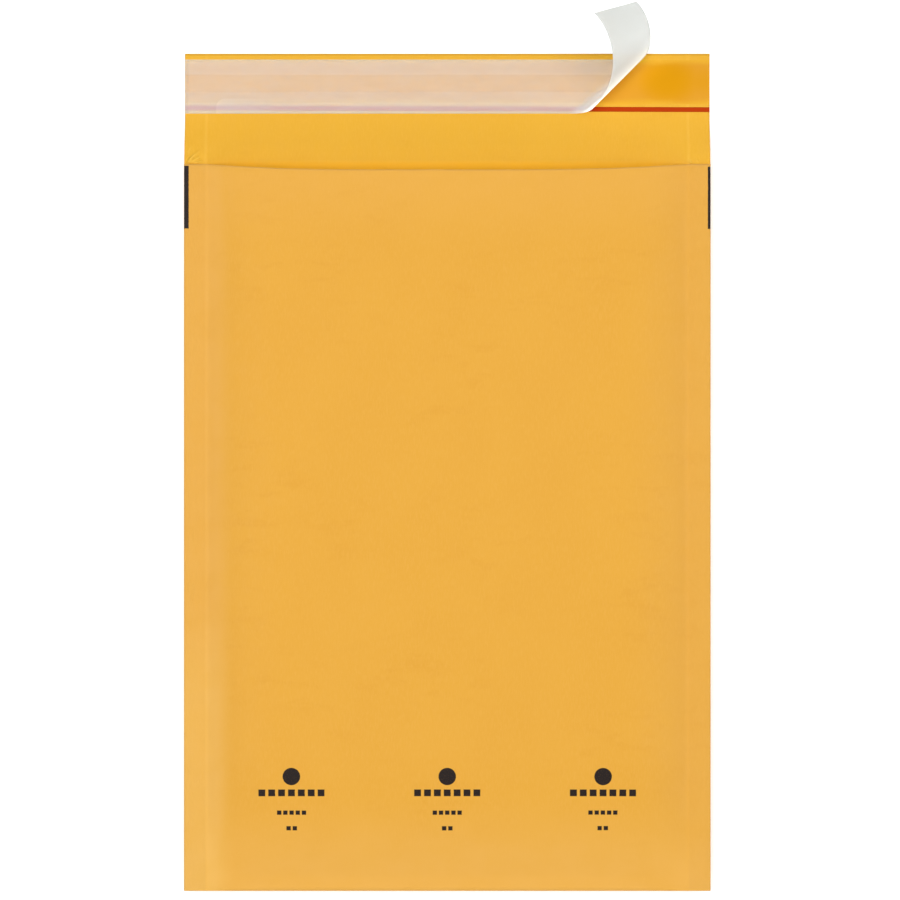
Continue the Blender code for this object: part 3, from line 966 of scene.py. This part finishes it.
def liner_frames(settings, width, steps):
    """Middle point, along, across, ruling angle and place of the liner at each step of its lifted end.

    The film only bends about straight rulings, so each step turns the frame about the ruling there.
    """
    half = width / 2
    reach = half / math.tan(settings.peel_angle)
    total = settings.peel_from_right - reach
    point = Vector((WIDTH / 2 - settings.peel_from_right + reach, 0, 0))
    along, across = Vector((1, 0, 0)), Vector((0, 1, 0))
    bend_left = settings.bend_radius * settings.bend_turn
    places = [total * (step / steps) ** 1.4 for step in range(steps + 1)]
    for place, following in zip(places, places[1:] + [total]):
        if place < total / 2:
            angle = settings.peel_angle + (settings.middle_angle - settings.peel_angle) * 2 * place / total
        else:
            rest = 2 * place / total - 1
            angle = settings.middle_angle + (math.pi / 2 - settings.middle_angle) * rest
        yield point.copy(), along.copy(), across.copy(), angle, WIDTH / 2 - total + place
        step = following - place
        arc = step * math.sin(angle)
        bent = min(arc, bend_left)
        bend_left -= bent
        ruling = along * math.cos(angle) + across * math.sin(angle)
        turn = Matrix.Rotation(-bent / settings.bend_radius - (arc - bent) / settings.curl_radius, 3, ruling)
        point += (along + turn @ along) * step / 2
        along, across = turn @ along, turn @ across


def liner_sheet(settings, base_z):
    """The film strip: flat and faintly rippled over the flap, then lifted at the peel and curled."""
    width = LINER_WIDTH
    low_y = LINER_LOW[1]
    cross = np.linspace(-1, 1, 15)
    reach = width / 2 / math.tan(settings.peel_angle)
    peel_x = WIDTH / 2 - settings.peel_from_right + reach
    points, uvs = [], []
    for step in range(LINER_FLAT_STEPS):
        portion = step / LINER_FLAT_STEPS
        middle = -WIDTH / 2 + portion * (peel_x + WIDTH / 2)
        x = middle + cross * reach * portion
        points.append(np.stack([x, cross * width / 2, 0 * x], -1))
        uvs.append(np.stack([x, (cross + 1) * width / 2], -1))
    for point, along, across, angle, place in liner_frames(settings, width, LINER_PEEL_STEPS):
        ruling = np.array(across + along / math.tan(angle)) * width / 2
        points.append(np.array(point) + cross[:, None] * ruling)
        slide = place + cross * width / 2 / math.tan(angle)
        uvs.append(np.stack([slide, (cross + 1) * width / 2], -1))
    points, uvs = np.array(points), np.array(uvs)
    points += np.array([0, low_y + width / 2, base_z])
    flat = points[:LINER_FLAT_STEPS]
    flat[..., 2] += 0.04 * MM * slow_noise(flat[..., 0], flat[..., 1], 0.009, 8.0)
    return grid_mesh("liner_film", points[:, ::-1], uvs[:, ::-1])


def air_pocket(build):
    """1 where a long bubble of air, round at its left end, has lifted the film's lower edge off the tape."""
    left, top, corner = -101.8 * MM, 6.6 * MM, 4.0 * MM
    out_u = build.most(build.minus(left + corner, build.u), 0.0)
    out_v = build.most(build.minus(build.v, top - corner), 0.0)
    away = build.distance(out_u, out_v)
    inside = build.fade(away, corner - 0.35 * MM, corner + 0.35 * MM)
    return build.times(inside, build.fade(build.u, -101 * MM, -64 * MM))


def liner_material(settings):
    """Milky film: clearer where the glue wets it, whitish where air lies under it, dense once lifted."""
    build = NodeBuilder("release film")
    u, v = build.u, build.v
    peel_x = WIDTH / 2 - settings.peel_from_right
    line = build.minus(u, build.times(v, 1 / math.tan(settings.peel_angle)))
    loose = build.ramp(line, peel_x - 3.0 * MM, peel_x + 7.5 * MM)
    ragged = build.minus(build.grain(40, 30, detail=2.0), 0.5)
    level = build.plus(v, build.times(ragged, 0.8 * MM))
    above = build.ramp(level, 9.0 * MM, 10.0 * MM)
    below = build.fade(level, 16.6 * MM, 17.6 * MM)
    wetted = build.times(above, below)
    air = air_pocket(build)
    milk = build.between(wetted, settings.haze, settings.stuck_haze)
    milk = build.between(build.times(air, 0.8), milk, settings.haze + 0.09)
    cloud = build.ramp(build.grain(18, 6, detail=2.0), 0.3, 0.7, -0.012, 0.012)
    milk = build.plus(milk, cloud)
    milk = build.plus(milk, build.ramp(v, 4.4 * MM, 5.2 * MM, 0.055, 0.0))
    milk = build.plus(milk, build.ramp(v, 0.7 * MM, 1.5 * MM, 0.05, 0.0))
    from_middle = build.minus(v, LINER_WIDTH / 2)
    beyond = build.minus(u, build.times(from_middle, FAR_SLANT))
    peel_middle = peel_x + LINER_WIDTH / 2 / math.tan(settings.peel_angle)
    bent = build.fade(beyond, peel_middle + 4 * MM, peel_middle + 24 * MM)
    # Painted light: emission glows beside the bend, and along the stuck film's two edges as a painted
    # highlight
    turned = build.ramp(line, peel_x + 4 * MM, peel_x + 8.5 * MM, 0.12, 1.0)
    low_edge = build.ramp(v, 0.5 * MM, 1.3 * MM, 0.10, 0.0)
    high_edge = build.ramp(v, LINER_WIDTH - 0.9 * MM, LINER_WIDTH - 0.2 * MM, 0.0, 0.15)
    lit = build.between(loose, build.plus(low_edge, high_edge), build.times(turned, bent))
    milk = build.between(loose, milk, build.between(bent, settings.loose_haze, settings.bent_haze))
    # Painted light: lighter colour beside the bend
    lifted = build.mix(bent, tuple(settings.loose_film), tuple(settings.lit_bent_film))
    lines = build.grain(40, 0.5, detail=2.0)
    # Painted light: the film by its lower edge is drawn warmer and lighter, lifting the shadow it casts on
    # the paper
    stuck = build.mix(build.fade(v, 1.6 * MM, 2.6 * MM), tuple(settings.film), (1.0, 0.94, 0.84))
    return build.finish(
        Base_Color=build.mix(loose, stuck, lifted),
        Roughness=build.ramp(lines, 0.3, 0.7, 0.38, 0.50),
        Alpha=milk,
        Normal=build.bump(lines, 0.02 * MM, 0.4),
        Specular_IOR_Level=0.4,
        Subsurface_Weight=1.0,
        Subsurface_Radius=Vector((1.0, 1.0, 1.0)),
        Subsurface_Scale=0.3 * MM,
        Emission_Color=tuple(settings.through),
        Emission_Strength=build.times(lit, settings.glow),
    )


class ENVELOPE_OT_liner(bpy.types.Operator):
    """Lay the release liner over the adhesive and peel back its right end"""

    bl_idname = "envelope.liner"
    bl_label = "Release liner"

    def execute(self, context):
        settings = context.scene.envelope_liner
        mesh = liner_sheet(settings, context.scene.envelope_kraft.paper + LINER_LIFT)
        piece = add_piece(
            "liner_film", mesh, [liner_material(settings)], "release_liner"
        )
        film = piece.modifiers.new("film", "SOLIDIFY")
        film.thickness = settings.thickness
        film.offset = 1
        return {"FINISHED"}


# Name, setting, and azimuth and elevation in degrees
LIGHTS = (
    ("low left light", "left_low", 180, 30),
    ("high left light", "left_high", 180, 66),
    ("low right light", "right_low", 0, 30),
    ("high right light", "right_high", 0, 48),
    ("head light", "head", 90, 48),
    ("foot light", "foot", 270, 30),
)


def soft_light(name, power, azimuth, elevation):
    """A square soft light that looks at the envelope from this direction, in degrees."""
    data = bpy.data.lights.new(name, "AREA")
    data.size = 0.9
    data.energy = power
    turn, height = math.radians(azimuth), math.radians(elevation)
    away = Vector((math.cos(height) * math.cos(turn), math.cos(height) * math.sin(turn), math.sin(height)))
    light = bpy.data.objects.new(name, data)
    light.location = 1.7 * away
    light.rotation_euler = (-away).to_track_quat("-Z", "Y").to_euler()
    bpy.context.scene.collection.objects.link(light)


class ENVELOPE_OT_stage(bpy.types.Operator):
    """Set the pale floor, the soft lights and the camera that looks straight down"""

    bl_idname = "envelope.stage"
    bl_label = "Stage"

    def execute(self, context):
        scene = context.scene
        settings = scene.envelope_stage
        bpy.ops.mesh.primitive_plane_add(size=8)
        floor = context.object
        floor.name = "floor"
        build = NodeBuilder("pale floor")
        grain = build.noise(build.stretch(0.3, 0.3), detail=2.0)
        floor.data.materials.append(
            build.finish(
                Base_Color=tuple(settings.floor),
                Roughness=build.ramp(grain, 0.3, 0.7, 0.78, 0.86),
                Emission_Color=(1.0, 1.0, 1.0),
                Emission_Strength=settings.glow,
            )
        )
        floor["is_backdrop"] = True

        world = bpy.data.worlds.new("even light")
        world.use_nodes = True
        background = world.node_tree.nodes["Background"]
        background.inputs["Color"].default_value = (1.0, 1.0, 1.0, 1.0)
        background.inputs["Strength"].default_value = settings.sky
        scene.world = world
        for name, setting, azimuth, elevation in LIGHTS:
            soft_light(name, getattr(settings, setting), azimuth, elevation)

        data = bpy.data.cameras.new("camera")
        data.sensor_width = 36.0
        data.lens = 36.0 * settings.camera_height / settings.view_width
        data.clip_end = 100.0
        camera = bpy.data.objects.new("camera", data)
        camera.location = (settings.view_x, settings.view_y, settings.camera_height)
        scene.collection.objects.link(camera)
        scene.camera = camera
        scene.view_settings.view_transform = "Standard"
        return {"FINISHED"}


class ENVELOPE_PT_panel(bpy.types.Panel):
    """Lists the envelope's pieces and their settings"""

    bl_idname = "ENVELOPE_PT_panel"
    bl_label = "Padded envelope"
    bl_space_type = "VIEW_3D"
    bl_region_type = "UI"
    bl_category = "Envelope"

    def draw(self, context):
        scene = context.scene
        for operator, group in PIECES:
            box = self.layout.box()
            box.operator(operator)
            settings = getattr(scene, group)
            for name in settings.bl_rna.properties.keys():
                if name not in {"rna_type", "name"}:
                    box.prop(settings, name, text=name.replace("_", " ").capitalize())


PIECES = (
    ("envelope.kraft", "envelope_kraft"),
    ("envelope.lining", "envelope_lining"),
    ("envelope.strips", "envelope_strips"),
    ("envelope.liner", "envelope_liner"),
    ("envelope.stage", "envelope_stage"),
)

GROUPS = (
    ("envelope_form", EnvelopeForm),
    ("envelope_kraft", EnvelopeKraft),
    ("envelope_lining", EnvelopeLining),
    ("envelope_strips", EnvelopeStrips),
    ("envelope_liner", EnvelopeLiner),
    ("envelope_stage", EnvelopeStage),
)

OPERATORS = (
    ENVELOPE_OT_kraft,
    ENVELOPE_OT_lining,
    ENVELOPE_OT_strips,
    ENVELOPE_OT_liner,
    ENVELOPE_OT_stage,
    ENVELOPE_PT_panel,
)


def register():
    for name, group in GROUPS:
        bpy.utils.register_class(group)
        setattr(bpy.types.Scene, name, PointerProperty(type=group))
    for made in OPERATORS:
        bpy.utils.register_class(made)


def unregister():
    for made in reversed(OPERATORS):
        bpy.utils.unregister_class(made)
    for name, group in reversed(GROUPS):
        delattr(bpy.types.Scene, name)
        bpy.utils.unregister_class(group)


def main():
    register()
    bpy.ops.envelope.kraft()
    bpy.ops.envelope.lining()
    bpy.ops.envelope.strips()
    bpy.ops.envelope.liner()
    bpy.ops.envelope.stage()
    boxes = {"cad": CAD_BOX, "visual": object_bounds()}
    sizes = {name: [[float(value) for value in corner] for corner in box] for name, box in boxes.items()}


if __name__ == "__main__":
    main()
